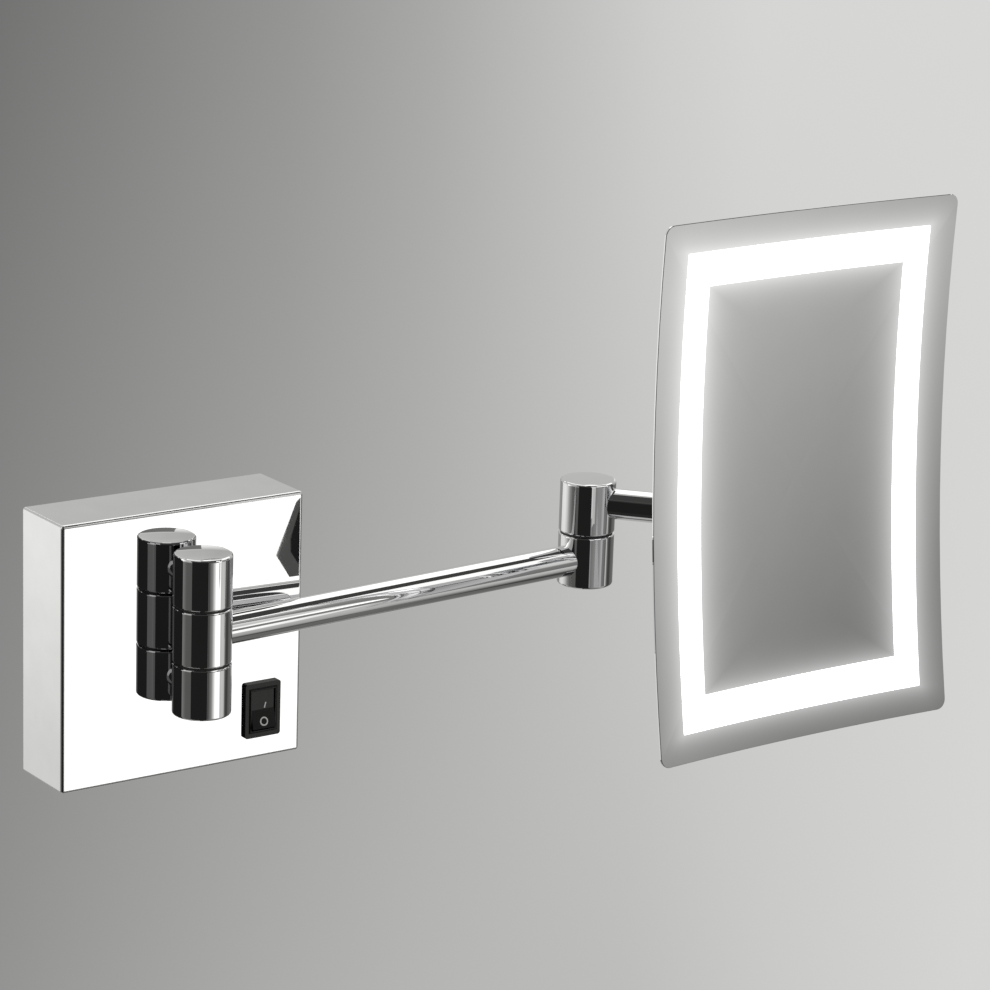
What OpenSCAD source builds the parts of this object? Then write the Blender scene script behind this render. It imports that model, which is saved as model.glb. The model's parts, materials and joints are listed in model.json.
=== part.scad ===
// Wall-mounted shaving mirror: a lit, slightly dished magnifying mirror on a two-part swinging arm.
// The origin is the centre of the wall screws, on the wall. +X runs along the wall, -Y leaves the wall
// towards the user and +Z is up. All sizes are in millimetres.

/* [Wall box] */
// Width of the box on the wall
box_w = 100; // [95:1:120]
// Height of the box on the wall
box_h = 100; // [95:1:120]
// How far the box stands off the wall
box_d = 29; // [28:0.5:34]
// Sheet thickness of the box
box_wall = 1.5; // [1:0.1:2]
// Rounding of the box's edges
box_edge_r = 1.2; // [0.5:0.1:2]
// Distance between the wall screws, both ways
screw_spacing = 80; // [76:1:82]
// Diameter of the wall screw holes
screw_hole_d = 5; // [4:0.1:6]

/* [Hinge barrels] */
// Diameter of every hinge barrel
barrel_d = 21.6; // [20:0.1:24]
// Height of a knuckle that carries a tube
knuckle_h = 20.4; // [19:0.1:22]
// Height of the two knuckles fixed to the box
end_knuckle_h = 19; // [17:0.1:20]
// Gap between two knuckles, filled by a washer
knuckle_gap = 0.8; // [0.6:0.1:1.2]
// Clear distance from the box's face to the first hinge axis
axis_reach = 13; // [12.5:0.1:16]
// Diameter of the hinge pins
pin_d = 8; // [7:0.1:9]
// Radial play of a pin in its bore
pin_play = 0.05; // [0.02:0.01:0.09]

/* [Arms] */
// Height of the arm above the box's centre
arm_z = 6.8; // [5:0.1:9]
// Distance from the wall hinge to the elbow
arm_len = 180; // [150:1:220]
// Angle of the arm towards the wall
arm_angle = 4.1; // [0:0.1:6]
// Distance from the elbow to the head hinge
stub_len = 54; // [50:0.5:70]
// Angle of the short arm, seen from above
stub_angle = -48.7; // [-75:0.1:0]
// Height of the short arm above the box's centre
stub_z = 29.2; // [28:0.1:30]
// Diameter of both tubes
tube_d = 12; // [11:0.1:13]
// Wall thickness of both tubes
tube_wall = 1.5; // [1:0.1:2]

/* [Mirror head] */
// Width of the mirror
mirror_w = 140; // [136:1:150]
// Height of the mirror
mirror_h = 201; // [198:1:210]
// Corner radius of the mirror
mirror_corner_r = 4; // [3:0.5:8]
// Radius of the mirror's dished surface
dish_r = 800; // [760:10:900]
// Thickness of the mirror
mirror_t = 3; // [3:0.1:3.5]
// Turn of the head about its upright axis
head_yaw = 1.1; // [-5:0.1:5]
// Lean of the mirror towards facing up
head_pitch = 3.2; // [-5:0.1:5]
// Outer width of the lit band
band_w = 116; // [114:0.5:118]
// Outer height of the lit band
band_h = 179; // [176:0.5:181]
// Width of the lit band at the sides
band_side = 11.3; // [9:0.1:13]
// Width of the lit band at the top and bottom
band_end = 13; // [11:0.1:14]
// How far the lit band sits below the mirror's centre
band_drop = 0.3; // [0:0.1:1.5]
// Distance from the head hinge to the tilt pin
tilt_reach = 20; // [19.5:0.1:22]
// Distance from the tilt pin to the mirror's face
face_reach = 20.2; // [20:0.1:21]
// Height of the mirror's centre above the tilt pin
face_rise = 3.3; // [2:0.1:6]

/* [Switch] */
// Width of the switch's bezel
bezel_w = 15; // [14:0.1:16]
// Height of the switch's bezel
bezel_h = 21; // [20:0.1:22]
// Distance of the switch to the right of the box's centre
switch_x = 33.2; // [28:0.1:36]
// Height of the switch's centre (negative is below the box's centre)
switch_z = -31; // [-34:0.1:-28]
// Rocking angle either side of the middle
rocker_angle = 7; // [6:0.5:11]

/* [Hidden] */
$fn = 48;
EDGE_FN = 32;     // sides of the small balls at the box's corners
DISH_FN = 360;    // the dish is a very large ball, so it takes many sides
EPS = 0.01;       // overshoot of a cutting shape
SEAT_PLAY = 0.02; // radial play of a part seated in another part of its own body

box_face_y = -box_d;
axis_y = box_face_y - axis_reach;
barrel_r = barrel_d / 2;
pin_r = pin_d / 2;
bore_r = pin_r + pin_play;
pin_hollow_r = 2.5;
knuckle_edge = 0.6;
knuckle_top_edge = 0.9;
knuckle_dome_h = 0.5;      // rise of the low dome on the top knuckles
roof_t = 3;               // metal left above a blind pin bore
cap_r = 6.5;
cap_t = 1.5;
cap_shank = 3;
tube_r = tube_d / 2;
tube_seat = 7.5;          // distance from a hinge axis to the end of a tube
lead_hole_r = 3;
washer_t = knuckle_gap - 0.1;
washer_r = barrel_r - 0.6;

arm_low = arm_z - knuckle_h / 2;
arm_top = arm_z + knuckle_h / 2;
top_low = arm_top + knuckle_gap;
top_top = top_low + end_knuckle_h;
bottom_top = arm_low - knuckle_gap;
bottom_low = bottom_top - end_knuckle_h;
top_neck_z = (top_low + top_top) / 2;
bottom_neck_z = (bottom_low + bottom_top) / 2;
elbow_low = arm_top + knuckle_gap;
elbow_top = elbow_low + knuckle_h;
elbow_x = arm_len * cos(arm_angle);
elbow_y = axis_y + arm_len * sin(arm_angle);
head_x = elbow_x + stub_len * cos(stub_angle);
head_y = elbow_y + stub_len * sin(stub_angle);
head_low_low = stub_z - knuckle_h / 2;
head_low_top = stub_z + knuckle_h / 2;
head_up_low = head_low_top + knuckle_gap;
head_up_top = head_up_low + knuckle_h;
tilt_z = (head_up_low + head_up_top) / 2;

neck_r = 5;
neck_thread_r = 4;
neck_thread_len = 11;
bracket_t = 2.5;
nut_t = 4.5;
nut_r = 7.5;
hinge_plate_w = 24;
hinge_plate_h = 62;
wall_plate_w = box_w - 2 * box_wall - 2;
wall_plate_h = box_h - 2 * box_wall - 2;
plate_t = 1.5;
tab_w = 14;
tab_d = 13;
tab_x = 22;
cover_screw_y = -8;
cover_screw_r = 1.5;
cable_hole_r = 4.5;
grommet_neck_r = 7;
grommet_flange_r = 9;
grommet_t = 4;

driver_w = 30;
driver_h = 62;
driver_d = 18;
driver_x = -28;
driver_ear = 6;
block_x = 26;
block_z = 16;
block_w = 24;
block_h = 14;
block_d = 15;

shell_w = mirror_w - 21;
shell_h = mirror_h - 16;
shell_r = 3;
shell_depth = 12;         // from the mirror's face at its centre to the back of the shell
shell_dome = 0.4;         // how far the domed back is let out, which leaves a flat seat at its centre
shell_wall = 1.5;
shell_front = 12;         // start of the shell's block, in front of all of the dish
rim_t = 1;                // thickness of the mirror's visible edge
rim_step = 2.4;           // how far the thicker part is set back from that edge
etch_t = 0.4;
bond_t = 0.5;
diffuser_t = 1.6;
carrier_front = 9.4;
carrier_t = 1;
strip_t = 0.8;
strip_w = 5;
strip_side_x = 51;
strip_end_z = 81;
chip_pitch = 10;
chip_t = 0.7;
solder_t = 0.02;

lug_w = 9;
lug_r = 5.5;
ear_t = 2;
ear_gap = 0.3;
tilt_pin_r = 2;
tilt_plate_t = 1.5;
tilt_plate_w = 36;
tilt_plate_h = 26;
bracket_screw_x = 13;
bracket_screw_z = 8;
bracket_screw_r = 1.5;

rocker_w = 9.8;
rocker_r = 7.5;           // the rocker's rounded ends, about its pivot
rocker_rise = 1.2;        // height of the valley of its face over the pivot
bezel_proud = 1.5;
bezel_lip_w = 0.9;        // sloping lip round the bezel's opening
bezel_lip_t = 0.4;
bezel_in_w = 10.3;
bezel_in_h = 15.6;
switch_body_w = 13;
switch_body_h = 19;
switch_depth = 14;
trunnion_r = 1;
pivot_y = box_face_y;

// ---- Frames of the moving groups ----

// Wall hinge axis.
module at_barrel() { translate([0, axis_y, 0]) children(); }

// Wall hinge axis, +X along the arm.
module at_arm() { at_barrel() rotate([0, 0, arm_angle]) children(); }

// Elbow axis, +X still along the arm.
module at_arm_end() { at_arm() translate([arm_len, 0, 0]) children(); }

// Elbow axis, +X along the short arm.
module at_elbow() { translate([elbow_x, elbow_y, 0]) rotate([0, 0, stub_angle]) children(); }

// Head hinge axis, +X along the short arm.
module at_stub_end() { at_elbow() translate([stub_len, 0, 0]) children(); }

// Head hinge axis, -Y the way that the mirror faces.
module at_swivel() { translate([head_x, head_y, 0]) rotate([0, 0, head_yaw]) children(); }

// Tilt axis, -Y square to the mirror's centre.
module at_tilt() {
    at_swivel() translate([0, -tilt_reach, tilt_z]) rotate([-head_pitch, 0, 0]) children();
}

// Centre of the mirror's face, -Y out of the face.
module at_face() { at_tilt() translate([0, -face_reach, face_rise]) children(); }

// ---- Shared shapes ----

// A cylinder that runs along +Y from the origin.
module along_y(r, h) { rotate([-90, 0, 0]) cylinder(r = r, h = h); }

// A cylinder that runs along +X from the origin.
module along_x(r, h) { rotate([0, 90, 0]) cylinder(r = r, h = h); }

// An upright plate with round corners, from the origin along +Y.
module upright_plate(w, h, t, r) {
    translate([0, t, 0]) rotate([90, 0, 0]) linear_extrude(t) rounded_rect(w, h, r);
}

// A rectangle with round corners.
module rounded_rect(w, h, r) {
    square([w - 2 * r, h], center = true);
    square([w, h - 2 * r], center = true);
    for (x = [-1, 1], y = [-1, 1]) translate([x * (w / 2 - r), y * (h / 2 - r)]) circle(r);
}

// Points of a quarter-round edge of radius e at height z; up is 1 for a top edge and -1 for a bottom one.
function edge_arc(z, e, up) = [for (i = [0 : 4])
    let (a = up > 0 ? i * 22.5 : 90 - i * 22.5)
    [barrel_r - e + e * cos(a), z + up * e * (sin(a) - 1)]];

// A solid knuckle with round edges.
module knuckle(low, top, low_edge = knuckle_edge, top_edge = knuckle_edge) {
    rotate_extrude() polygon(concat([[0, low]], edge_arc(low, low_edge, -1),
        edge_arc(top, top_edge, 1), [[0, top]]));
}

// The low dome on top of a knuckle whose edge ends at height z.
module knuckle_dome(z) {
    r = barrel_r - knuckle_top_edge;
    dome_r = (r * r + knuckle_dome_h * knuckle_dome_h) / (2 * knuckle_dome_h);
    intersection() {
        translate([0, 0, z - 1]) cylinder(r = r, h = knuckle_dome_h + 2);
        translate([0, 0, z + knuckle_dome_h - dome_r]) sphere(r = dome_r, $fn = DISH_FN);
    }
}

// The seat of a tube and the way for its lead, from a hinge axis along +X at height z.
module tube_socket(z) {
    translate([tube_seat, 0, z]) along_x(tube_r + SEAT_PLAY, barrel_r);
    translate([0, 0, z]) along_x(lead_hole_r, barrel_r);
}

// A plain tube along +X between two distances from a hinge axis.
module arm_pipe(from, to, z) {
    translate([from, 0, z]) difference() {
        along_x(tube_r, to - from);
        translate([-EPS, 0, 0]) along_x(tube_r - tube_wall, to - from + 2 * EPS);
    }
}

// The bore and the counterbore that take a hinge pin and its cap, open at the bottom.
module capped_bore(low, top) {
    translate([0, 0, low - EPS]) cylinder(r = bore_r, h = top - low + 2 * EPS);
    translate([0, 0, low - EPS]) cylinder(r = cap_r + SEAT_PLAY, h = cap_t + EPS);
}

// A cap with a hexagon socket that closes a barrel from below.
module pin_cap(low) {
    difference() {
        union() {
            translate([0, 0, low]) cylinder(r = cap_r, h = cap_t);
            translate([0, 0, low + cap_t - EPS]) cylinder(r = pin_r, h = cap_shank + EPS);
        }
        translate([0, 0, low - EPS]) cylinder(r = 2, h = 2.5, $fn = 6);
    }
}

// A hollow hinge pin.
module hollow_pin(low, top) {
    difference() {
        translate([0, 0, low]) cylinder(r = pin_r, h = top - low);
        translate([0, 0, low - EPS]) cylinder(r = pin_hollow_r, h = top - low + 2 * EPS);
    }
}

// The window in a pin that lets a lead turn with a tube: it opens the +X half.
module pin_window(z) {
    translate([-0.5, -pin_d, z - lead_hole_r]) cube([pin_d, 2 * pin_d, 2 * lead_hole_r]);
}

// A thin washer between two knuckles whose gap starts at height z.
module gap_washer(z) {
    translate([0, 0, z + (knuckle_gap - washer_t) / 2]) difference() {
        cylinder(r = washer_r, h = washer_t);
        translate([0, 0, -EPS]) cylinder(r = bore_r + 0.1, h = washer_t + 2 * EPS);
    }
}

// A round-headed screw along +Y, its head against the origin's -Y side.
module round_screw(r, length, head_r, head_t) {
    difference() {
        union() {
            along_y(r, length);
            translate([0, -head_t, 0]) along_y(head_r, head_t);
        }
        for (a = [0, 90]) translate([0, -head_t - EPS, 0]) rotate([0, a, 0])
            translate([-head_r * 0.6, 0, -0.3]) cube([head_r * 1.2, head_t / 2, 0.6]);
    }
}

// A flexible lead through a list of points.
module lead(points, d) {
    for (i = [0 : len(points) - 2]) hull() {
        translate(points[i]) sphere(d = d, $fn = 10);
        translate(points[i + 1]) sphere(d = d, $fn = 10);
    }
}

// ---- Base, fixed to the wall ----

module wall_plate() {
    color("silver") difference() {
        translate([0, -plate_t, 0]) upright_plate(wall_plate_w, wall_plate_h, plate_t, 3);
        for (x = [-1, 1], z = [-1, 1])
            translate([x * screw_spacing / 2, -plate_t - 1, z * screw_spacing / 2])
                along_y(screw_hole_d / 2, plate_t + 2);
        translate([0, -plate_t - 1, 0]) along_y(grommet_neck_r + SEAT_PLAY, plate_t + 2);
    }
}

// Tabs welded to the wall plate; the cover slides over them, and its screws go into the lower two.
module cover_tabs() {
    color("silver") difference() {
        for (x = [-1, 1], z = [-1, 1])
            translate([x * tab_x - tab_w / 2, -tab_d,
                z > 0 ? wall_plate_h / 2 - plate_t : -wall_plate_h / 2])
                cube([tab_w, tab_d - plate_t, plate_t]);
        for (x = [-1, 1]) translate([x * tab_x, cover_screw_y, -wall_plate_h / 2 - 1])
            cylinder(r = cover_screw_r + SEAT_PLAY, h = plate_t + 2);
    }
}

module cable_grommet() {
    color("dimgray") difference() {
        union() {
            translate([0, -grommet_t, 0]) along_y(grommet_neck_r, grommet_t);
            translate([0, -grommet_t, 0]) along_y(grommet_flange_r, grommet_t - plate_t);
        }
        translate([0, -grommet_t - 1, 0]) along_y(cable_hole_r, grommet_t + 2);
    }
}

module base_cover() {
    corner = [box_w / 2 - box_edge_r, box_d - box_edge_r, box_h / 2 - box_edge_r];
    color("gainsboro") difference() {
        intersection() {
            hull() for (x = [-1, 1], z = [-1, 1], y = [-corner[1], box_edge_r + 1])
                translate([x * corner[0], y, z * corner[2]]) sphere(r = box_edge_r, $fn = EDGE_FN);
            translate([-box_w, -2 * box_d, -box_h]) cube([2 * box_w, 2 * box_d, 2 * box_h]);
        }
        translate([-box_w / 2 + box_wall, box_face_y + box_wall, -box_h / 2 + box_wall])
            cube([box_w - 2 * box_wall, box_d, box_h - 2 * box_wall]);
        for (z = [top_neck_z, bottom_neck_z])
            translate([0, box_face_y - 1, z]) along_y(neck_thread_r + 0.2, box_wall + 2);
        translate([switch_x, box_face_y + box_wall / 2, switch_z])
            cube([switch_body_w + 0.2, box_wall + 2, switch_body_h + 0.2], center = true);
        for (x = [-1, 1]) translate([x * tab_x, cover_screw_y, -box_h / 2 - 1])
            cylinder(r = cover_screw_r + 0.2, h = box_wall + 2);
    }
}

module cover_screws() {
    color("silver") for (x = [-1, 1]) translate([x * tab_x, cover_screw_y, -box_h / 2 + 0.2])
        difference() {
            cylinder(r = cover_screw_r, h = 5);
            translate([0, 0, -EPS]) cylinder(r = 0.8, h = 1.6, $fn = 6);
        }
}

module hinge_plate() {
    color("slategray") translate([0, box_face_y + box_wall, arm_z]) difference() {
        upright_plate(hinge_plate_w, hinge_plate_h, bracket_t, 3);
        for (z = [top_neck_z, bottom_neck_z])
            translate([0, -1, z - arm_z]) along_y(neck_thread_r + 0.1, bracket_t + 2);
    }
}

// The neck that ties a fixed knuckle to the box.
module neck(z) {
    translate([0, axis_y, z]) along_y(neck_r, axis_reach);
    translate([0, axis_y, z]) along_y(neck_thread_r, axis_reach + neck_thread_len);
}

module top_knuckle() {
    color("lightsteelblue") difference() {
        union() {
            at_barrel() {
                knuckle(top_low, top_top, knuckle_edge, knuckle_top_edge);
                knuckle_dome(top_top);
            }
            neck(top_neck_z);
        }
        at_barrel() translate([0, 0, top_low - EPS]) cylinder(r = bore_r, h = end_knuckle_h - roof_t);
    }
}

module bottom_knuckle() {
    color("lightsteelblue") difference() {
        union() {
            at_barrel() knuckle(bottom_low, bottom_top, knuckle_top_edge, knuckle_edge);
            neck(bottom_neck_z);
        }
        at_barrel() capped_bore(bottom_low, bottom_top);
        translate([0, axis_y, bottom_neck_z]) along_y(pin_hollow_r, axis_reach + neck_thread_len + 1);
    }
}

module neck_nuts() {
    color("silver") for (z = [top_neck_z, bottom_neck_z])
        translate([0, box_face_y + box_wall + bracket_t, z]) difference() {
            rotate([-90, 0, 0]) cylinder(r = nut_r, h = nut_t, $fn = 6);
            translate([0, -1, 0]) along_y(neck_thread_r + SEAT_PLAY, nut_t + 2);
        }
}

module barrel_pin() {
    color("silver") at_barrel() difference() {
        hollow_pin(bottom_low + cap_t + cap_shank, top_top - roof_t - 0.3);
        rotate([0, 0, -90]) pin_window(arm_z);
        translate([0, 0, bottom_neck_z]) along_y(pin_hollow_r, pin_d);
    }
}

module barrel_washers() {
    color("black") at_barrel() for (z = [bottom_top, arm_top]) gap_washer(z);
}

module barrel_cap() { color("silver") at_barrel() pin_cap(bottom_low); }

module led_driver() {
    low = -plate_t - driver_d;
    color("white") difference() {
        union() {
            translate([driver_x, low, 0]) upright_plate(driver_w, driver_h, driver_d, 2);
            for (z = [-1, 1]) translate([driver_x, -plate_t - 2, z * (driver_h / 2 + driver_ear / 2 - 1)])
                upright_plate(12, driver_ear + 2, 2, 2);
        }
        for (z = [-1, 1]) translate([driver_x, -plate_t - 3, z * (driver_h / 2 + driver_ear / 2)])
            along_y(1.6, 4);
    }
}

module driver_screws() {
    color("silver") for (z = [-1, 1])
        translate([driver_x, -plate_t - 2, z * (driver_h / 2 + driver_ear / 2)])
            round_screw(1.5, 1.9, 2.6, 1.4);
}

module terminal_block() {
    color("ivory") difference() {
        translate([block_x, -plate_t - block_d, block_z]) upright_plate(block_w, block_h, block_d, 1);
        for (i = [-1 : 1]) {
            translate([block_x + i * 7.5, -plate_t - block_d - 1, block_z]) along_y(2.2, 7);
            translate([block_x + i * 7.5, -plate_t - block_d / 2, block_z - block_h / 2 - 1])
                cylinder(r = 1.6, h = 5);
        }
    }
}

module terminal_screws() {
    color("silver") for (i = [-1 : 1])
        translate([block_x + i * 7.5, -plate_t - block_d + 1.5, block_z]) difference() {
            along_y(2, 4);
            translate([-2.5, -EPS, -0.3]) cube([5, 0.8, 0.6]);
        }
}

// A thin layer of the bezel's lip, larger than the opening by grow all round.
module lip_layer(grow, y) {
    translate([-bezel_in_w / 2 - grow, y, -bezel_in_h / 2 - grow])
        cube([bezel_in_w + 2 * grow, EPS, bezel_in_h + 2 * grow]);
}

// The sloping lip round the bezel's opening, before the opening is cut.
module bezel_lip() {
    hull() {
        lip_layer(bezel_lip_w, -bezel_proud);
        lip_layer(bezel_lip_w / 4, -bezel_proud - bezel_lip_t);
    }
}

module switch_body() {
    color("black") translate([switch_x, box_face_y, switch_z]) difference() {
        union() {
            translate([0, -bezel_proud, 0]) upright_plate(bezel_w, bezel_h, bezel_proud, 1);
            bezel_lip();
            translate([0, -EPS, 0]) upright_plate(switch_body_w, switch_body_h, switch_depth, 0.5);
        }
        translate([-bezel_in_w / 2, -bezel_proud - 1, -bezel_in_h / 2])
            cube([bezel_in_w, bezel_proud + rocker_r + 2, bezel_in_h]);
        translate([-bezel_in_w / 2 - 1, 0, 0]) along_x(trunnion_r + pin_play, bezel_in_w + 2);
    }
}

module switch_tabs() {
    color("goldenrod") for (z = [-6, 0, 6])
        translate([switch_x - 2.4, box_face_y + switch_depth - EPS, switch_z + z - 0.4])
            cube([4.8, 8, 0.8]);
}

// Leads from the switch and the driver to the terminal block and the lower neck.
module box_leads() {
    tab_end = box_face_y + switch_depth + 8;
    neck_end = box_face_y + neck_thread_len;
    color("firebrick") {
        lead([[switch_x, tab_end + 1.2, switch_z + 6], [switch_x, tab_end + 1.6, switch_z + 14],
            [block_x + 7.5, -8, -4], [block_x + 7.5, -9, block_z - block_h / 2 - 1.2]], 2);
        lead([[switch_x, tab_end + 1.2, switch_z], [18, -4, switch_z + 4], [4, -6, -24],
            [driver_x + driver_w / 2 + 1.2, -8, -22]], 2);
        lead([[driver_x + driver_w / 2 + 1.2, -12, -8], [-6, neck_end + 3.5, bottom_neck_z + 3],
            [0, neck_end + 1.5, bottom_neck_z]], 2);
    }
}

// ---- Rocker of the switch ----

// Pivot of the rocker, turned to where its upper half is pressed in.
module at_rocker() {
    translate([switch_x, pivot_y, switch_z]) rotate([-rocker_angle, 0, 0]) children();
}

// The rocker's outline in its own Y and Z: round ends about the pivot and a shallow valley in front.
module rocker_outline() {
    rise = rocker_rise + rocker_r * tan(rocker_angle);
    intersection() {
        circle(rocker_r);
        polygon([[3.5, -rocker_r], [3.5, rocker_r], [-rise, rocker_r], [-rocker_rise, 0],
            [-rise, -rocker_r]]);
    }
}

module switch_rocker() {
    color("black") at_rocker() {
        rotate([0, 90, 0]) rotate([0, 0, 90]) translate([0, 0, -rocker_w / 2])
            linear_extrude(rocker_w) rocker_outline();
        translate([-bezel_in_w / 2 - 0.7, 0, 0]) along_x(trunnion_r, bezel_in_w + 1.4);
    }
}

// A generic stroke and ring, raised on the two halves of the rocker.
module switch_marks() {
    mark_t = 0.12;
    color("gray") at_rocker() {
        translate([0, -rocker_rise, 0]) rotate([rocker_angle, 0, 0])
            translate([1, -mark_t, 1.5]) rotate([0, 15, 0]) translate([-0.25, 0, -1.1])
                cube([0.5, mark_t, 2.2]);
        translate([0, -rocker_rise, 0]) rotate([-rocker_angle, 0, 0])
            translate([0, -mark_t, -4.6]) difference() {
                along_y(1.7, mark_t);
                translate([0, -EPS, 0]) along_y(1.2, mark_t + 2 * EPS);
            }
    }
}

// ---- Arm, from the wall hinge to the elbow ----

module arm_knuckle() {
    color("lightblue") at_arm() difference() {
        knuckle(arm_low, arm_top);
        translate([0, 0, arm_low - EPS]) cylinder(r = bore_r, h = knuckle_h + 2 * EPS);
        tube_socket(arm_z);
    }
}

module arm_tube() { color("aliceblue") at_arm() arm_pipe(tube_seat, arm_len - tube_seat, arm_z); }

module elbow_lower_knuckle() {
    color("lightblue") at_arm_end() difference() {
        knuckle(arm_low, arm_top, knuckle_top_edge, knuckle_edge);
        capped_bore(arm_low, arm_top);
        rotate([0, 0, 180]) tube_socket(arm_z);
    }
}

module elbow_pin() {
    color("silver") at_arm_end() difference() {
        hollow_pin(arm_low + cap_t + cap_shank, elbow_top - roof_t - 0.3);
        pin_window(stub_z);
        translate([-pin_d, 0, arm_z]) along_x(pin_hollow_r, pin_d);
    }
}

module elbow_washer() { color("black") at_arm_end() gap_washer(arm_top); }

module elbow_cap() { color("silver") at_arm_end() pin_cap(arm_low); }

module arm_lead() {
    color("firebrick") at_arm() translate([tube_seat - 2, 0, arm_z])
        along_x(1.5, arm_len - 2 * tube_seat + 4);
}

// ---- Forearm, from the elbow to the head hinge ----

module elbow_upper_knuckle() {
    color("powderblue") at_elbow() difference() {
        union() {
            knuckle(elbow_low, elbow_top, knuckle_edge, knuckle_top_edge);
            knuckle_dome(elbow_top);
        }
        translate([0, 0, elbow_low - EPS]) cylinder(r = bore_r, h = knuckle_h - roof_t);
        tube_socket(stub_z);
    }
}

module stub_tube() { color("aliceblue") at_elbow() arm_pipe(tube_seat, stub_len - tube_seat, stub_z); }

module head_lower_knuckle() {
    color("powderblue") at_stub_end() difference() {
        knuckle(head_low_low, head_low_top, knuckle_top_edge, knuckle_edge);
        capped_bore(head_low_low, head_low_top);
        rotate([0, 0, 180]) tube_socket(stub_z);
    }
}

module head_pin() {
    color("silver") at_stub_end() difference() {
        hollow_pin(head_low_low + cap_t + cap_shank, head_up_top - roof_t - 0.3);
        translate([-pin_d, 0, stub_z]) along_x(pin_hollow_r, pin_d);
    }
}

module head_washer() { color("black") at_stub_end() gap_washer(head_low_top); }

module head_cap() { color("silver") at_stub_end() pin_cap(head_low_low); }

module stub_lead() {
    color("firebrick") at_elbow() translate([tube_seat - 2, 0, stub_z])
        along_x(1.5, stub_len - 2 * tube_seat + 4);
}

// ---- Swivel, between the head hinge and the tilt pin ----

module head_upper_knuckle() {
    color("skyblue") at_swivel() difference() {
        union() {
            knuckle(head_up_low, head_up_top, knuckle_edge, knuckle_top_edge);
            knuckle_dome(head_up_top);
            translate([-lug_w / 2, -tilt_reach, tilt_z - lug_r]) cube([lug_w, tilt_reach, 2 * lug_r]);
            translate([-lug_w / 2, -tilt_reach, tilt_z]) along_x(lug_r, lug_w);
        }
        translate([0, 0, head_up_low - EPS]) cylinder(r = bore_r, h = knuckle_h - roof_t);
        translate([-lug_w, -tilt_reach, tilt_z]) along_x(tilt_pin_r + pin_play, 2 * lug_w);
    }
}

// ---- Mirror head ----

module tilt_bracket() {
    plate_back = face_reach - shell_depth; // from the tilt pin to the back of the shell
    color("silver") at_tilt() difference() {
        union() {
            translate([0, -plate_back, 0]) upright_plate(tilt_plate_w, tilt_plate_h, tilt_plate_t, 3);
            for (side = [-1, 1]) translate([side * (lug_w / 2 + ear_gap + ear_t / 2) - ear_t / 2, 0, 0]) {
                translate([0, -plate_back, -lug_r]) cube([ear_t, plate_back, 2 * lug_r]);
                along_x(lug_r, ear_t);
            }
        }
        translate([-lug_w, 0, 0]) along_x(tilt_pin_r + SEAT_PLAY, 2 * lug_w);
        for (x = [-1, 1], z = [-1, 1])
            translate([x * bracket_screw_x, -plate_back - 1, z * bracket_screw_z])
                along_y(bracket_screw_r + 0.1, tilt_plate_t + 2);
    }
}

module tilt_pin() {
    ear_out = lug_w / 2 + ear_gap + ear_t;
    color("silver") at_tilt() difference() {
        union() {
            translate([-ear_out, 0, 0]) along_x(tilt_pin_r, 2 * ear_out + 4);
            translate([-ear_out - 2, 0, 0]) along_x(3.6, 2);
        }
        translate([-ear_out - 2 - EPS, 0, 0]) rotate([0, 90, 0]) cylinder(r = 1.5, h = 1.4, $fn = 6);
    }
}

module tilt_nut() {
    color("silver") at_tilt() translate([lug_w / 2 + ear_gap + ear_t, 0, 0]) difference() {
        rotate([0, 90, 0]) cylinder(r = 4, h = 3.2, $fn = 6);
        translate([-1, 0, 0]) along_x(tilt_pin_r + SEAT_PLAY, 6);
    }
}

module tilt_washers() {
    color("black") at_tilt() for (side = [-1, 1])
        translate([side * (lug_w / 2 + ear_gap / 2 + 0.04) - 0.1, 0, 0]) difference() {
            along_x(4.2, 0.2);
            translate([-1, 0, 0]) along_x(tilt_pin_r + SEAT_PLAY, 3);
        }
}

module bracket_screws() {
    plate_back = face_reach - shell_depth;
    color("silver") at_tilt() for (x = [-1, 1], z = [-1, 1])
        translate([x * bracket_screw_x, tilt_plate_t - plate_back, z * bracket_screw_z]) rotate([0, 0, 180])
            round_screw(bracket_screw_r, tilt_plate_t + shell_wall + carrier_t + 0.4, 2.8, 1.6);
}

// Holes for the bracket's screws, in the frame of the mirror's face.
module bracket_screw_holes() {
    for (x = [-1, 1], z = [-1, 1])
        translate([x * bracket_screw_x, 0, z * bracket_screw_z - face_rise])
            along_y(bracket_screw_r + 0.1, shell_depth + 5);
}

// Everything in front of the dish, deepened by t: a ball.
module dish(t) { translate([0, -dish_r, 0]) sphere(r = dish_r + t, $fn = DISH_FN); }

// A rectangular upright ring about the band's centre line.
module upright_ring(w, h, side, end, front_y, t, r) {
    translate([0, front_y, 0]) difference() {
        upright_plate(w, h, t, r);
        translate([0, -1, 0]) upright_plate(w - 2 * side, h - 2 * end, t + 2, max(r - side, 0.5));
    }
}

// The shell's block: straight sides and a domed back, drawn in all round by inset.
module shell_block(inset) {
    intersection() {
        translate([0, -shell_front - inset, 0]) upright_plate(shell_w - 2 * inset, shell_h - 2 * inset,
            shell_front + shell_depth, shell_r - inset);
        dish(shell_depth + shell_dome - inset);
    }
}

module rear_shell() {
    color("slategray") at_face() difference() {
        shell_block(0);
        shell_block(shell_wall);
        dish(mirror_t + bond_t);
        bracket_screw_holes();
    }
}

module bond_frame() {
    color("black") at_face() intersection() {
        upright_ring(shell_w - 0.2, shell_h - 0.2, shell_wall - 0.2, shell_wall - 0.2, -12, 20, shell_r);
        difference() {
            dish(mirror_t + bond_t - 0.02);
            dish(mirror_t + 0.02);
        }
    }
}

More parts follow.
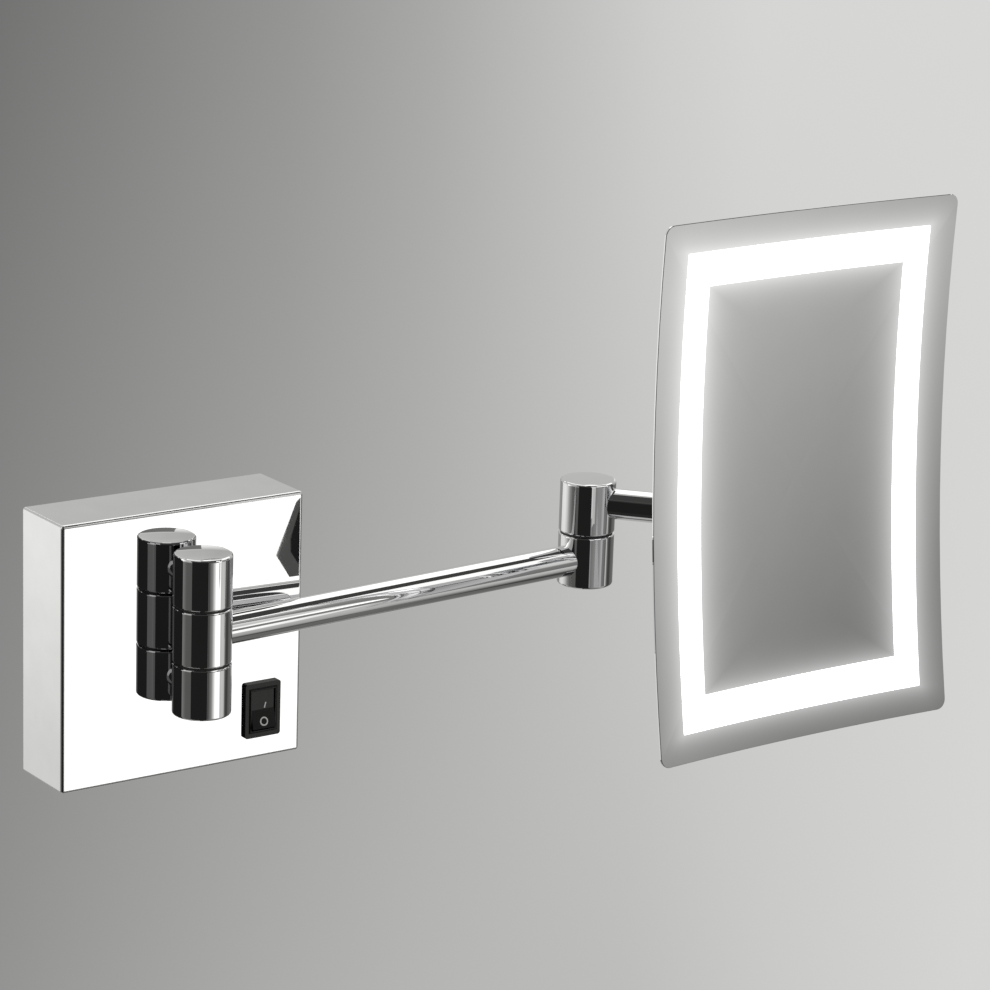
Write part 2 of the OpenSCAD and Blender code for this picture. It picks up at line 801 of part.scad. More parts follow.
module led_carrier() {
    color("silver") at_face() difference() {
        intersection() {
            translate([0, -10, 0]) upright_plate(shell_w - 4, shell_h - 4, 30, 2);
            dish(carrier_front + carrier_t);
        }
        dish(carrier_front);
        bracket_screw_holes();
    }
}

module led_strips() {
    color("ivory") at_face() difference() {
        intersection() {
            translate([0, -10, -band_drop]) {
                for (x = [-1, 1]) translate([x * strip_side_x, 0, 0]) upright_plate(strip_w, 150, 30, 0.5);
                for (z = [-1, 1]) translate([0, 0, z * strip_end_z]) upright_plate(94, strip_w, 30, 0.5);
            }
            dish(carrier_front);
        }
        dish(carrier_front - strip_t);
    }
}

// A place on the dish, -Y square to it.
module on_dish(x, z) {
    translate([0, -dish_r, 0]) rotate([atan(z / dish_r), 0, 0]) rotate([0, 0, -atan(x / dish_r)])
        translate([0, dish_r, 0]) children();
}

// One light chip, a solder film off the strips.
module led_chip(w, h) {
    translate([-w / 2, carrier_front - strip_t - solder_t - chip_t, -h / 2]) cube([w, chip_t, h]);
}

module led_chips() {
    color("gold") at_face() {
        for (x = [-1, 1], i = [-7 : 7])
            on_dish(x * strip_side_x, i * chip_pitch - band_drop) led_chip(2.8, 3.5);
        for (z = [-1, 1], i = [-4 : 4])
            on_dish(i * chip_pitch, z * strip_end_z - band_drop) led_chip(3.5, 2.8);
    }
}

module diffuser() {
    front = mirror_t - etch_t + 0.05;
    color("white") at_face() difference() {
        intersection() {
            translate([0, 0, -band_drop]) upright_ring(band_w - 0.2, band_h - 0.2, band_side - 0.2,
                band_end - 0.2, -12, 20, 1.5);
            dish(front + diffuser_t);
        }
        dish(front);
    }
}

module mirror_glass() {
    color("lightgray") at_face() difference() {
        union() {
            intersection() {
                translate([0, -15, 0]) upright_plate(mirror_w, mirror_h, 20, mirror_corner_r);
                dish(rim_t);
            }
            intersection() {
                translate([0, -14.9, 0]) upright_plate(mirror_w - 2 * rim_step, mirror_h - 2 * rim_step,
                    20, mirror_corner_r - rim_step);
                dish(mirror_t);
            }
        }
        dish(0);
        difference() {
            translate([0, 0, -band_drop]) upright_ring(band_w, band_h, band_side, band_end, -14, 18, 1.5);
            dish(mirror_t - etch_t);
        }
    }
}

wall_plate();
cover_tabs();
cable_grommet();
base_cover();
cover_screws();
hinge_plate();
top_knuckle();
bottom_knuckle();
neck_nuts();
barrel_pin();
barrel_washers();
barrel_cap();
led_driver();
driver_screws();
terminal_block();
terminal_screws();
switch_body();
switch_tabs();
box_leads();
switch_rocker();
switch_marks();
arm_knuckle();
arm_tube();
elbow_lower_knuckle();
elbow_pin();
elbow_washer();
elbow_cap();
arm_lead();
elbow_upper_knuckle();
stub_tube();
head_lower_knuckle();
head_pin();
head_washer();
head_cap();
stub_lead();
head_upper_knuckle();
tilt_bracket();
tilt_pin();
tilt_nut();
tilt_washers();
bracket_screws();
rear_shell();
bond_frame();
led_carrier();
led_strips();
led_chips();
diffuser();
mirror_glass();
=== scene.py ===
"""Looks of the wall-mounted shaving mirror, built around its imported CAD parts.

Metres, in the CAD frame.
"""

import json
import math

import bmesh
import bpy
from mathutils import Matrix, Vector


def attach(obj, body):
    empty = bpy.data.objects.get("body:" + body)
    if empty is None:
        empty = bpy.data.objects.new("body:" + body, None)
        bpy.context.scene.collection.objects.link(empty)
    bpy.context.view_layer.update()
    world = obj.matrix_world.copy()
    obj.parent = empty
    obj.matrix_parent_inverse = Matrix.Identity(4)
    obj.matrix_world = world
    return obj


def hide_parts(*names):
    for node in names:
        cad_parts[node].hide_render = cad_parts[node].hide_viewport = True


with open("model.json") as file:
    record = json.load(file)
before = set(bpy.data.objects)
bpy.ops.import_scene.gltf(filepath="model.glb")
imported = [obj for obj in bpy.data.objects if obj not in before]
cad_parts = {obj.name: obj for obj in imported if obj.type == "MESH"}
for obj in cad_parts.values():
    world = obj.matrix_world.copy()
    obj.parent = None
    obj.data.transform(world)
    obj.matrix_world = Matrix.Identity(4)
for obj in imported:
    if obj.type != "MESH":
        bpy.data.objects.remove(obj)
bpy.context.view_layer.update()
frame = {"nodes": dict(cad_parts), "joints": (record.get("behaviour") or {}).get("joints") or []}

MM = 0.001
JOINTS = {joint["name"]: joint for joint in frame["joints"]}

# ---- Camera, at the angle that the object is looked at ----
CAMERA_AT = Vector((-0.66856, -1.16709, 0.41991))
CAMERA_AZIMUTH = math.radians(-35.25)
CAMERA_ELEVATION = math.radians(15.35)
CAMERA_ROLL = math.radians(1.90)
CAMERA_LENS = 138.53
SENSOR_W = 36

# ---- Mirror head, in the frame of the mirror's face: -Y leaves the glass ----
HEAD_PITCH = math.radians(3.2)
FACE_REACH = 20.2 * MM
FACE_RISE = 3.3 * MM
MIRROR_W = 140 * MM
MIRROR_H = 201 * MM
MIRROR_CORNER = 4 * MM
DISH_R = 800 * MM
GLASS_T = 3 * MM
RIM_T = 1 * MM
RIM_STEP = 2.4 * MM
ARRIS = 0.2 * MM
BAND_W = 116 * MM
BAND_H = 179 * MM
BAND_SIDE = 11.3 * MM
BAND_END = 13 * MM
BAND_DROP = 0.3 * MM
BAND_CORNER = 0.4 * MM
BAND_PROUD = 0.05 * MM
BAND_T = 0.35 * MM
# Strength of the painted glow that the mirror's face emits round the lit band.
GLOW = 0.34
GLOW_SIDE_FADE = 6.5 * MM
GLOW_END_FADE = 4.5 * MM
LIT = (2.4, 2.6)
BOX_EDGE_SOFTNESS = 0.35 * MM
SHARP_ANGLE = math.radians(34)


# ---- Materials ----


class Tree:
    """A new material's node tree, with short ways to add nodes."""

    def __init__(self, name):
        self.material = bpy.data.materials.new(name)
        self.material.use_nodes = True
        self.nodes = self.material.node_tree.nodes
        self.links = self.material.node_tree.links
        self.shader = self.nodes["Principled BSDF"]
        self.object_coords = self.nodes.new("ShaderNodeTexCoord").outputs["Object"]

    def noise(self, scale, detail=3.0, stretch=(1, 1, 1)):
        mapping = self.nodes.new("ShaderNodeMapping")
        mapping.inputs["Scale"].default_value = stretch
        self.links.new(self.object_coords, mapping.inputs["Vector"])
        noise = self.nodes.new("ShaderNodeTexNoise")
        noise.inputs["Scale"].default_value = scale
        noise.inputs["Detail"].default_value = detail
        self.links.new(mapping.outputs["Vector"], noise.inputs["Vector"])
        return noise.outputs["Fac"]

    def spread(self, value, low, high):
        """value, from 0.3 to 0.7 as noise is, taken to low...high."""
        node = self.nodes.new("ShaderNodeMapRange")
        node.inputs["From Min"].default_value = 0.3
        node.inputs["From Max"].default_value = 0.7
        node.inputs["To Min"].default_value = low
        node.inputs["To Max"].default_value = high
        self.links.new(value, node.inputs["Value"])
        return node.outputs["Result"]

    def tone(self, value, low, high):
        node = self.nodes.new("ShaderNodeMix")
        node.data_type = "RGBA"
        node.inputs["A"].default_value = (*low, 1)
        node.inputs["B"].default_value = (*high, 1)
        self.links.new(self.spread(value, 0, 1), node.inputs["Factor"])
        return node.outputs["Result"]

    def math(self, operation, a, b=0.0):
        node = self.nodes.new("ShaderNodeMath")
        node.operation = operation
        for socket, value in zip(node.inputs, (a, b)):
            if isinstance(value, (int, float)):
                socket.default_value = value
            else:
                self.links.new(value, socket)
        return node.outputs[0]

    def bump(self, height, distance):
        node = self.nodes.new("ShaderNodeBump")
        node.inputs["Distance"].default_value = distance
        node.inputs["Strength"].default_value = 1.0
        self.links.new(height, node.inputs["Height"])
        self.links.new(node.outputs["Normal"], self.shader.inputs["Normal"])


def finish(name, low, high, rough, grain, metallic=0.0, stretch=(1, 1, 1), relief=0.0, **fixed):
    """A material whose tone and roughness wander with noise; fixed sets the shader's other inputs."""
    tree = Tree(name)
    noise = tree.noise(grain, stretch=stretch)
    tree.links.new(tree.tone(noise, low, high), tree.shader.inputs["Base Color"])
    tree.links.new(tree.spread(noise, *rough), tree.shader.inputs["Roughness"])
    tree.shader.inputs["Metallic"].default_value = metallic
    for key, value in fixed.items():
        tree.shader.inputs[key].default_value = value
    if relief:
        tree.bump(noise, relief)
    return tree.material


def soften_edges(material, radius):
    """Rounds the shading over a faceted edge."""
    nodes, links = material.node_tree.nodes, material.node_tree.links
    bevel = nodes.new("ShaderNodeBevel")
    bevel.samples = 6
    bevel.inputs["Radius"].default_value = radius
    links.new(bevel.outputs["Normal"], nodes["Principled BSDF"].inputs["Normal"])
    return material


def grey(value):
    return (value, value, value * 1.01)


def chrome(name):
    return finish(name, grey(0.86), grey(0.90), (0.004, 0.014), grain=90, metallic=1.0)


def mirror_finish():
    """Silvered glass with a painted glow: emission round its lit band stands in for the band's halo.
    """
    tree = Tree("mirror_look")
    noise = tree.noise(60.0)
    tree.links.new(tree.tone(noise, grey(0.90), grey(0.92)), tree.shader.inputs["Base Color"])
    tree.links.new(tree.spread(noise, 0.012, 0.02), tree.shader.inputs["Roughness"])
    tree.shader.inputs["Metallic"].default_value = 1.0
    axes = tree.nodes.new("ShaderNodeSeparateXYZ")
    tree.links.new(tree.object_coords, axes.inputs[0])
    across = tree.math("ABSOLUTE", axes.outputs["X"])
    up = tree.math("ABSOLUTE", tree.math("ADD", axes.outputs["Z"], BAND_DROP))

    def beyond(value, edge, fade):
        past = tree.math("MAXIMUM", tree.math("SUBTRACT", value, edge), 0.0)
        return tree.math("DIVIDE", past, fade)

    def within(value, edge, fade):
        return tree.math("DIVIDE", tree.math("SUBTRACT", edge, value), fade)

    out_x = beyond(across, BAND_W / 2, GLOW_SIDE_FADE)
    out_z = beyond(up, BAND_H / 2, GLOW_END_FADE)
    squares = tree.math("ADD", tree.math("POWER", out_x, 2), tree.math("POWER", out_z, 2))
    outside = tree.math("SQRT", squares)
    in_x = within(across, BAND_W / 2 - BAND_SIDE, GLOW_SIDE_FADE)
    in_z = within(up, BAND_H / 2 - BAND_END, GLOW_END_FADE)
    inside = tree.math("MAXIMUM", tree.math("MINIMUM", in_x, in_z), 0.0)
    distance = tree.math("MAXIMUM", outside, inside)
    decay = tree.math("EXPONENT", tree.math("MULTIPLY", distance, -1.0))
    glow = tree.math("MULTIPLY", decay, GLOW)
    tree.shader.inputs["Emission Color"].default_value = (1, 1, 1, 1)
    tree.links.new(glow, tree.shader.inputs["Emission Strength"])
    return tree.material


def lit_finish():
    """The etched band with the light on behind it."""
    tree = Tree("opal_lit_look")
    noise = tree.noise(900.0)
    tree.links.new(tree.tone(noise, grey(0.86), grey(0.92)), tree.shader.inputs["Base Color"])
    tree.links.new(tree.spread(noise, 0.45, 0.6), tree.shader.inputs["Roughness"])
    tree.shader.inputs["Emission Color"].default_value = (1.0, 0.995, 0.985, 1)
    tree.links.new(tree.spread(noise, *LIT), tree.shader.inputs["Emission Strength"])
    return tree.material


LOOKS = {
    "chrome": chrome("chrome_look"),
    "zinc_steel": finish("zinc_look", (0.50, 0.52, 0.55), (0.66, 0.67, 0.68), (0.28, 0.45),
                         grain=260, metallic=1.0, relief=0.02 * MM),
    "pin_steel": finish("pin_look", grey(0.52), grey(0.60), (0.16, 0.26),
                        grain=500, metallic=1.0, stretch=(1, 1, 6)),
    "nylon": finish("nylon_look", grey(0.018), grey(0.035), (0.40, 0.55), grain=700, relief=0.01 * MM),
    "black_gloss": finish("black_gloss_look", grey(0.006), grey(0.010), (0.12, 0.2), grain=400,
                          **{"Specular IOR Level": 0.24}),
    "mark_grey": finish("mark_look", grey(0.62), grey(0.72), (0.45, 0.6), grain=900),
    "tab_brass": finish("tab_look", (0.62, 0.45, 0.18), (0.74, 0.56, 0.26), (0.22, 0.36),
                        grain=300, metallic=1.0),
    "grommet_rubber": finish("grommet_look", grey(0.012), grey(0.025), (0.7, 0.85),
                             grain=900, relief=0.03 * MM),
    "bond_rubber": finish("bond_look", grey(0.015), grey(0.03), (0.65, 0.8),
                          grain=900, relief=0.03 * MM),
    "white_abs": finish("white_abs_look", grey(0.66), grey(0.74), (0.38, 0.5),
                        grain=700, relief=0.01 * MM),
    "lead_pvc": finish("lead_look", (0.30, 0.012, 0.010), (0.40, 0.02, 0.016), (0.34, 0.45),
                       grain=500),
    "carrier_alu": finish("carrier_look", grey(0.62), grey(0.72), (0.24, 0.38),
                          grain=200, metallic=1.0, stretch=(8, 1, 1)),
    "strip_board": finish("strip_look", grey(0.62), grey(0.70), (0.5, 0.6), grain=800),
    "led_phosphor": finish("phosphor_look", (0.80, 0.62, 0.16), (0.88, 0.72, 0.24), (0.4, 0.5),
                           grain=900),
    "opal": finish("opal_look", grey(0.78), grey(0.85), (0.35, 0.45), grain=600),
    "mirror": mirror_finish(),
}
LIT_OPAL = lit_finish()
BOX_CHROME = soften_edges(chrome("box_chrome_look"), BOX_EDGE_SOFTNESS)

for node in frame["nodes"].values():
    look = LOOKS[node.data.materials[0].name]
    node.data.materials.clear()
    node.data.materials.append(look)
frame["nodes"]["base_cover"].data.materials[0] = BOX_CHROME


# ---- Mesh helpers ----


def piece(name, bm, body, look, place, stands_for=()):
    """A finished piece of the object: closed, outward-facing, smooth, riding on its body."""
    bmesh.ops.remove_doubles(bm, verts=bm.verts, dist=1e-7)
    bmesh.ops.recalc_face_normals(bm, faces=bm.faces)
    mesh = bpy.data.meshes.new(name)
    bm.to_mesh(mesh)
    bm.free()
    mesh.shade_smooth()
    mesh.set_sharp_from_angle(angle=SHARP_ANGLE)
    mesh.materials.append(look)
    made = bpy.data.objects.new(name, mesh)
    bpy.context.scene.collection.objects.link(made)
    made.matrix_world = place
    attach(made, body)
    if stands_for:
        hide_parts(*stands_for)


def rounded_outline(w, h, r, per_corner=8, per_side=12):
    """Points (x, z) around a rectangle with round corners."""
    points = []
    for quarter in range(4):
        turn = quarter * math.pi / 2
        sx = 1 if quarter in (0, 3) else -1
        sz = 1 if quarter in (0, 1) else -1
        for i in range(per_corner + 1):
            a = turn + i * math.pi / 2 / per_corner
            points.append((sx * (w / 2 - r) + r * math.cos(a), sz * (h / 2 - r) + r * math.sin(a)))
    full = []
    for i, start in enumerate(points):
        end = points[(i + 1) % len(points)]
        full.append(start)
        if (i + 1) % (per_corner + 1) == 0:
            for k in range(1, per_side):
                t = k / per_side
                full.append(tuple(a + (b - a) * t for a, b in zip(start, end)))
    return full


def skin(bm, rings, closed_loop=False):
    """Quads between rings of equal length, which may be joined last to first."""
    made = [[bm.verts.new(p) for p in ring] for ring in rings]
    pairs = list(zip(made, made[1:]))
    if closed_loop:
        pairs.append((made[-1], made[0]))
    for a, b in pairs:
        for i in range(len(a)):
            k = (i + 1) % len(a)
            bm.faces.new((a[i], a[k], b[k], b[i]))
    return made


def dished(x, z, depth):
    """A point of the ball-shaped dish, depth behind the mirror's face."""
    r = DISH_R + depth
    return Vector((x, math.sqrt(r * r - x * x - z * z) - DISH_R, z))


# ---- Mirror head ----

tilt = JOINTS["head_tilt"]
tilt_axis = Vector(tilt["axis"])
tilt_at = Vector(tilt["pos_m"])
FACE = (Matrix.Translation(tilt_at)
        @ Matrix.Rotation(math.atan2(tilt_axis.y, tilt_axis.x), 4, "Z")
        @ Matrix.Rotation(-HEAD_PITCH, 4, "X")
        @ Matrix.Translation((0, -FACE_REACH, FACE_RISE)))


def dish_patch(w, h, r, depth, rings=20):
    """Rings that shrink from the outline towards the centre of the dish."""
    outline = rounded_outline(w, h, r)
    shares = [step / rings for step in range(rings, 0, -1)]
    return [[dished(x * share, z * share, depth) for x, z in outline] for share in shares]


def capped_patch(bm, rings, centre):
    made = skin(bm, rings)
    hub = bm.verts.new(centre)
    last = made[-1]
    for i in range(len(last)):
        bm.faces.new((last[i], last[(i + 1) % len(last)], hub))


def mirror_glass():
    bm = bmesh.new()
    w, h, r = MIRROR_W, MIRROR_H, MIRROR_CORNER
    full = rounded_outline(w, h, r)
    eased = rounded_outline(w - 2 * ARRIS, h - 2 * ARRIS, r - ARRIS)
    thick = rounded_outline(w - 2 * RIM_STEP, h - 2 * RIM_STEP, r - RIM_STEP)
    front = dish_patch(w - 2 * ARRIS, h - 2 * ARRIS, r - ARRIS, 0)
    capped_patch(bm, front, dished(0, 0, 0))
    edge = ((eased, 0), (full, ARRIS), (full, RIM_T - ARRIS), (eased, RIM_T), (thick, RIM_T),
            (thick, GLASS_T))
    skin(bm, [[dished(x, z, depth) for x, z in outline] for outline, depth in edge])
    back = dish_patch(w - 2 * RIM_STEP, h - 2 * RIM_STEP, r - RIM_STEP, GLASS_T)
    capped_patch(bm, back, dished(0, 0, GLASS_T))
    piece("mirror", bm, "head", LOOKS["mirror"], FACE, ["mirror_glass"])


def light_band():
    bm = bmesh.new()
    hole_w = BAND_W - 2 * BAND_SIDE
    hole_h = BAND_H - 2 * BAND_END
    outer = rounded_outline(BAND_W, BAND_H, BAND_CORNER, per_side=20)
    inner = rounded_outline(hole_w, hole_h, BAND_CORNER / 2, per_side=20)

    def ring(points, depth):
        return [dished(x, z - BAND_DROP, depth) for x, z in points]

    middle = [((a + c) / 2, (b + d) / 2) for (a, b), (c, d) in zip(outer, inner)]
    rings = [ring(outer, -BAND_PROUD), ring(middle, -BAND_PROUD), ring(inner, -BAND_PROUD),
             ring(inner, BAND_T), ring(middle, BAND_T), ring(outer, BAND_T)]
    skin(bm, rings, closed_loop=True)
    piece("light_band", bm, "head", LIT_OPAL, FACE)


mirror_glass()
light_band()

# ---- Stage ----

WARMTH = 0.985  # share of blue in each of the two ramps that light a card


def ramp_node(nodes, links, place, stops, top):
    """A grey ramp over place; the stops are (position, strength) pairs, held as shares of top."""
    ramp = nodes.new("ShaderNodeValToRGB")
    elements = ramp.color_ramp.elements
    between = [elements.new(position) for position, _ in stops[1:-1]]
    for element, (position, strength) in zip([elements[0], *between, elements[-1]], stops):
        element.position = position
        element.color = (strength / top, strength / top, strength / top * WARMTH, 1)
    links.new(place, ramp.inputs["Fac"])
    return ramp.outputs["Color"]


def card_look(name, across, upward, gain):
    """An emitting look: the product of a ramp from left to right and a ramp from bottom to top."""
    material = bpy.data.materials.new(name)
    material.use_nodes = True
    nodes, links = material.node_tree.nodes, material.node_tree.links
    nodes.clear()
    output = nodes.new("ShaderNodeOutputMaterial")
    emission = nodes.new("ShaderNodeEmission")
    uv = nodes.new("ShaderNodeUVMap")
    axes = nodes.new("ShaderNodeSeparateXYZ")
    links.new(uv.outputs[0], axes.inputs[0])
    tones = [ramp_node(nodes, links, axes.outputs[k], stops, max(s for _, s in stops))
             for k, stops in enumerate((across, upward))]
    product = nodes.new("ShaderNodeMix")
    product.data_type = "RGBA"
    product.blend_type = "MULTIPLY"
    product.inputs["Factor"].default_value = 1
    links.new(tones[0], product.inputs["A"])
    links.new(tones[1], product.inputs["B"])
    links.new(product.outputs["Result"], emission.inputs["Color"])
    strongest = max(s for _, s in across) * max(s for _, s in upward)
    emission.inputs["Strength"].default_value = gain * strongest
    links.new(emission.outputs[0], output.inputs["Surface"])
    return material


def reflected(name, mesh, look):
    """Puts a card on the stage, where only reflections see it."""
    mesh.materials.append(look)
    made = bpy.data.objects.new(name, mesh)
    bpy.context.scene.collection.objects.link(made)
    made.visible_camera = False
    made.visible_diffuse = False
    made.visible_shadow = False
    return made


EVEN = ((0, 1), (1, 1))


def card(name, point, across=EVEN, upward=EVEN, gain=1.0, columns=24, rows=8):
    """A lit or dark card; point(u, v) gives its place."""
    bm = bmesh.new()
    uv_layer = bm.loops.layers.uv.new("UVMap")
    grid = [[bm.verts.new(point(i / columns, k / rows)) for i in range(columns + 1)]
            for k in range(rows + 1)]
    for k in range(rows):
        for i in range(columns):
            face = bm.faces.new((grid[k][i], grid[k][i + 1], grid[k + 1][i + 1], grid[k + 1][i]))
            spots = ((i, k), (i + 1, k), (i + 1, k + 1), (i, k + 1))
            for loop, (a, b) in zip(face.loops, spots):
                loop[uv_layer].uv = (a / columns, b / rows)
    mesh = bpy.data.meshes.new(name)
    bm.to_mesh(mesh)
    bm.free()
    return reflected(name, mesh, card_look(name + "_look", across, upward, gain))


DRUM_R = 1.5


def arc(start_deg, end_deg, low, high):
    """A piece of an upright drum round the origin; 0 degrees is ahead of the wall, 90 along +X."""

    def point(u, v):
        a = math.radians(start_deg + (end_deg - start_deg) * u)
        return Vector((DRUM_R * math.sin(a), -DRUM_R * math.cos(a), low + (high - low) * v))

    return point


def flat(corner, along, up):
    """A flat card from a corner and its two sides."""

    def point(u, v):
        return Vector(corner) + Vector(along) * u + Vector(up) * v

    return point


FLOOR_Z = -1.7
LOW = FLOOR_Z + 0.01
CARD_Y = -0.9
card("dark_front_left", arc(-71, -9, LOW, 1.6), gain=0.013, upward=((0, 1), (0.8, 1), (1, 6)))
card("grey_left", arc(-128, -71, LOW, 1.2),
     across=((0, 0.52), (0.25, 0.22), (0.6, 0.10), (1, 0.095)),
     upward=((0, 1), (0.47, 1), (0.54, 3.4), (1, 4)))
card("bright_back_left", arc(-172, -128, -0.9, 0.3),
     across=((0, 0.78), (0.6, 0.88), (1, 0.6)),
     upward=((0, 0.7), (0.28, 0.8), (0.42, 1), (1, 1)))
card("front_right", arc(-9, 63, LOW, 1.0),
     across=((0, 0.25), (0.12, 0.5), (0.3, 0.7), (0.55, 0.80), (0.83, 1.2), (1, 1.0)),
     upward=((0, 0.04), (0.10, 0.12), (0.17, 0.30), (0.30, 0.41), (0.44, 0.50), (0.53, 0.50),
             (0.562, 0.32), (0.585, 0.20), (0.64, 0.21), (0.72, 0.235), (0.84, 0.19), (1, 0.26)))
card("light_strip", arc(10, 85, 1.2, 1.42), gain=1.1)
card("dark_right", arc(63, 86, LOW, 1.2), across=((0, 0.22), (0.4, 0.05), (1, 0.06)))
card("grey_right", arc(86, 132, LOW, 0.5),
     across=((0, 0.11), (0.5, 0.15), (1, 0.24)),
     upward=((0, 1), (0.62, 1), (0.72, 3), (1, 3.6)))
card("dark_floor", flat((-1.5, -1.4, LOW), (1.55, 0, 0), (0, 1.3, 0)), gain=0.02)
card("grey_floor", flat((0.05, -1.4, LOW), (2.1, 0, 0), (0, 2.0, 0)), gain=0.14)
card("white_card", flat((-0.12, CARD_Y, -0.47), (0.92, 0, 0), (0, 0, 0.30)),
     across=((0, 0.03), (0.25, 0.25), (0.42, 0.80), (0.54, 1.35), (0.86, 1.35), (1, 0.8)))
card("top_fill", flat((0.52, CARD_Y, 0.06), (0.28, 0, 0), (0, 0, 0.60)),
     across=((0, 1.05), (0.2, 0.98), (0.64, 1.15), (1, 1.5)),
     upward=((0, 1.0), (0.15, 1.0), (0.38, 0.48), (0.62, 0.50), (1, 0.62)))
card("top_fill_left", flat((0.30, CARD_Y, 0.26), (0.22, 0, 0), (0, 0, 0.40)),
     across=((0, 1.5), (0.65, 1.12), (1, 1.05)),
     upward=((0, 0.6), (0.1, 0.48), (0.5, 0.5), (1, 0.62)))
card("ceiling", flat((0.2, 0.2, 1.6), (2.4, 0, 0), (0, 2.4, 0)), gain=1.3)
card("dark_roof", flat((-1.6, -1.6, 1.62), (3.2, 0, 0), (0, 1.75, 0)), gain=0.05)


def flag(name, y, corners, strength):
    """A small dark card, by its corners (x, z), that shows as a dark shape in the box's face."""
    mesh = bpy.data.meshes.new(name)
    mesh.from_pydata([(x, y, z) for x, z in corners], [], [tuple(range(len(corners)))])
    reflected(name, mesh, card_look(name + "_look", EVEN, EVEN, strength))


FLAG_Y = -0.88
flag("flag_outer", FLAG_Y,
     [(0.5866, -0.2291), (0.5818, -0.2331), (0.5674, -0.2667),
      (0.5778, -0.2826), (0.640, -0.2834), (0.640, -0.2291)], 0.075)
flag("flag_inner", FLAG_Y + 0.005,
     [(0.640, -0.2305), (0.5825, -0.2325), (0.5750, -0.255),
      (0.5752, -0.264), (0.5815, -0.2735), (0.640, -0.2735)], 0.012)

# ---- Backdrop, square to the way that the camera looks ----

WORLD_GREY = 0.52
FLOOR_GREY = 0.42
BACKDROP_BEHIND = 2.6
MIRRORED_TOP = 0.1
# Painted light: the backdrop's tones fall from bright on the right to dark on the left, as light falls
# off over the wall.
# Tones across the backdrop, low down and high up: metres to the right of its middle, strength.
LOW_TONES = ((-0.544, 0.29), (-0.40, 0.345), (-0.224, 0.41), (-0.08, 0.455), (0.032, 0.48),
             (0.16, 0.505), (0.32, 0.58), (0.544, 0.66))
HIGH_TONES = ((-0.544, 0.165), (-0.40, 0.22), (-0.224, 0.30), (-0.08, 0.395), (0.032, 0.50),
              (0.16, 0.62), (0.256, 0.67), (0.544, 0.685))
# Heights between which one look of the backdrop gives way to the next.
LOW_TO_HIGH_Z = (-1.2425, -0.133)
HIGH_TO_ROOM_Z = (-0.09, 0.9)
FLOOR_TO_LOW_Z = (LOW, -1.3)
forward = Vector((-math.sin(CAMERA_AZIMUTH) * math.cos(CAMERA_ELEVATION),
                  math.cos(CAMERA_AZIMUTH) * math.cos(CAMERA_ELEVATION),
                  -math.sin(CAMERA_ELEVATION)))
level = Vector((forward.x, forward.y, 0)).normalized()
sideways = level.cross(Vector((0, 0, 1)))
middle = level * BACKDROP_BEHIND + sideways * CAMERA_AT.dot(sideways)


def backdrop_look(name, left, right, top, fades):
    """Two grey ramps from left to right, blended upwards.

    One that fades runs out into the room's grey and the floor's.
    """
    material = card_look(name, EVEN, EVEN, 1.0)
    nodes, links = material.node_tree.nodes, material.node_tree.links
    axes = next(n for n in nodes if n.type == "SEPXYZ")
    emission = next(n for n in nodes if n.type == "EMISSION")

    def tones(stops):
        if fades:
            stops = ((-left, WORLD_GREY), *stops, (right, WORLD_GREY))
        spots = [((x + left) / (left + right), strength) for x, strength in stops]
        return ramp_node(nodes, links, axes.outputs[0], spots, 1.0)

    def blend(heights, below, above):
        share = nodes.new("ShaderNodeMapRange")
        for key, z in zip(("From Min", "From Max"), heights):
            share.inputs[key].default_value = (z - LOW) / (top - LOW)
        links.new(axes.outputs[1], share.inputs["Value"])
        mix = nodes.new("ShaderNodeMix")
        mix.data_type = "RGBA"
        links.new(share.outputs["Result"], mix.inputs["Factor"])
        links.new(below, mix.inputs["A"])
        links.new(above, mix.inputs["B"])
        return mix.outputs["Result"]

    colour = blend(LOW_TO_HIGH_Z, tones(LOW_TONES), tones(HIGH_TONES))
    if fades:
        room, ground = (ramp_node(nodes, links, axes.outputs[0], ((0, tone), (1, tone)), 1.0)
                        for tone in (WORLD_GREY, FLOOR_GREY))
        colour = blend(HIGH_TO_ROOM_Z, colour, room)
        colour = blend(FLOOR_TO_LOW_Z, ground, colour)
    links.new(colour, emission.inputs["Color"])
    return material


def upright(left, right, top):
    """The place of a card in the backdrop's plane, from left to right of its middle."""
    return flat(middle + sideways * left + Vector((0, 0, LOW)), sideways * (right - left),
                (0, 0, top - LOW))


def backdrop(name, left, right, top, fades=False):
    made = card(name, upright(-left, right, top))
    made.data.materials[0] = backdrop_look(name + "_look", left, right, top, fades)
    return made


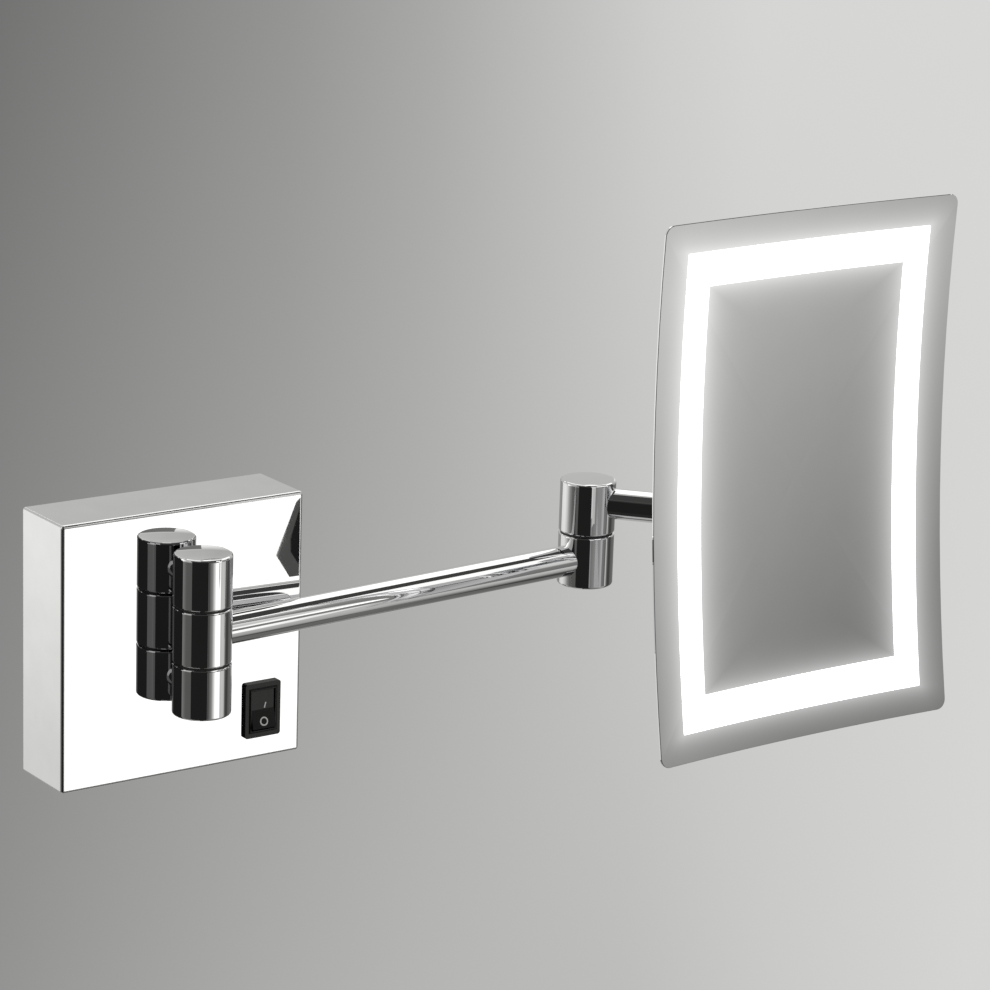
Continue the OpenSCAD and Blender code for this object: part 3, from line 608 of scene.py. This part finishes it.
backdrop("backdrop_mirrored", 0.8, 0.8, MIRRORED_TOP)
card("backdrop_left", upright(-4.4, -0.8, MIRRORED_TOP),
     across=((0, 0.13), (0.39, 0.22), (0.72, 0.29), (1, 0.30)),
     upward=((0, 1), (0.7, 1), (1, 0.7)))
card("floor_left", flat((-3.0, 0.9, LOW), (3.0, 0, 0), (0, 3.9, 0)),
     across=((0, 0.10), (0.4, 0.14), (0.75, 0.22), (1, 0.28)))
seen = backdrop("backdrop", 2.8, 2.3, 2.3, fades=True)
seen.visible_camera = True
seen.visible_glossy = False

# ---- Room and floor ----

world = bpy.data.worlds.new("studio")
bpy.context.scene.world = world
world.use_nodes = True
air = world.node_tree.nodes["Background"]
air.inputs["Color"].default_value = (WORLD_GREY, WORLD_GREY, WORLD_GREY * 0.975, 1)
air.inputs["Strength"].default_value = 1.0

FLOOR_HALF = 6
bm = bmesh.new()
bmesh.ops.create_grid(bm, x_segments=8, y_segments=8, size=FLOOR_HALF,
                      matrix=Matrix.Translation((0, 0, FLOOR_Z)))
floor_mesh = bpy.data.meshes.new("floor")
bm.to_mesh(floor_mesh)
bm.free()
floor_mesh.materials.append(finish("floor_look", grey(0.80), grey(0.84), (0.7, 0.85), grain=3))
floor = bpy.data.objects.new("floor", floor_mesh)
bpy.context.scene.collection.objects.link(floor)

# ---- Camera ----

right = forward.cross(Vector((0, 0, 1))).normalized()
up = right.cross(forward)
rolled_right = right * math.cos(CAMERA_ROLL) + up * math.sin(CAMERA_ROLL)
rolled_up = up * math.cos(CAMERA_ROLL) - right * math.sin(CAMERA_ROLL)
lens = bpy.data.cameras.new("camera")
lens.lens = CAMERA_LENS
lens.sensor_width = SENSOR_W
lens.clip_start = 0.05
lens.clip_end = 50
camera = bpy.data.objects.new("camera", lens)
turn = Matrix((rolled_right, rolled_up, -forward)).transposed()
camera.matrix_world = Matrix.Translation(CAMERA_AT) @ turn.to_4x4()
bpy.context.scene.collection.objects.link(camera)
bpy.context.scene.camera = camera
bpy.context.scene.view_settings.view_transform = "Standard"
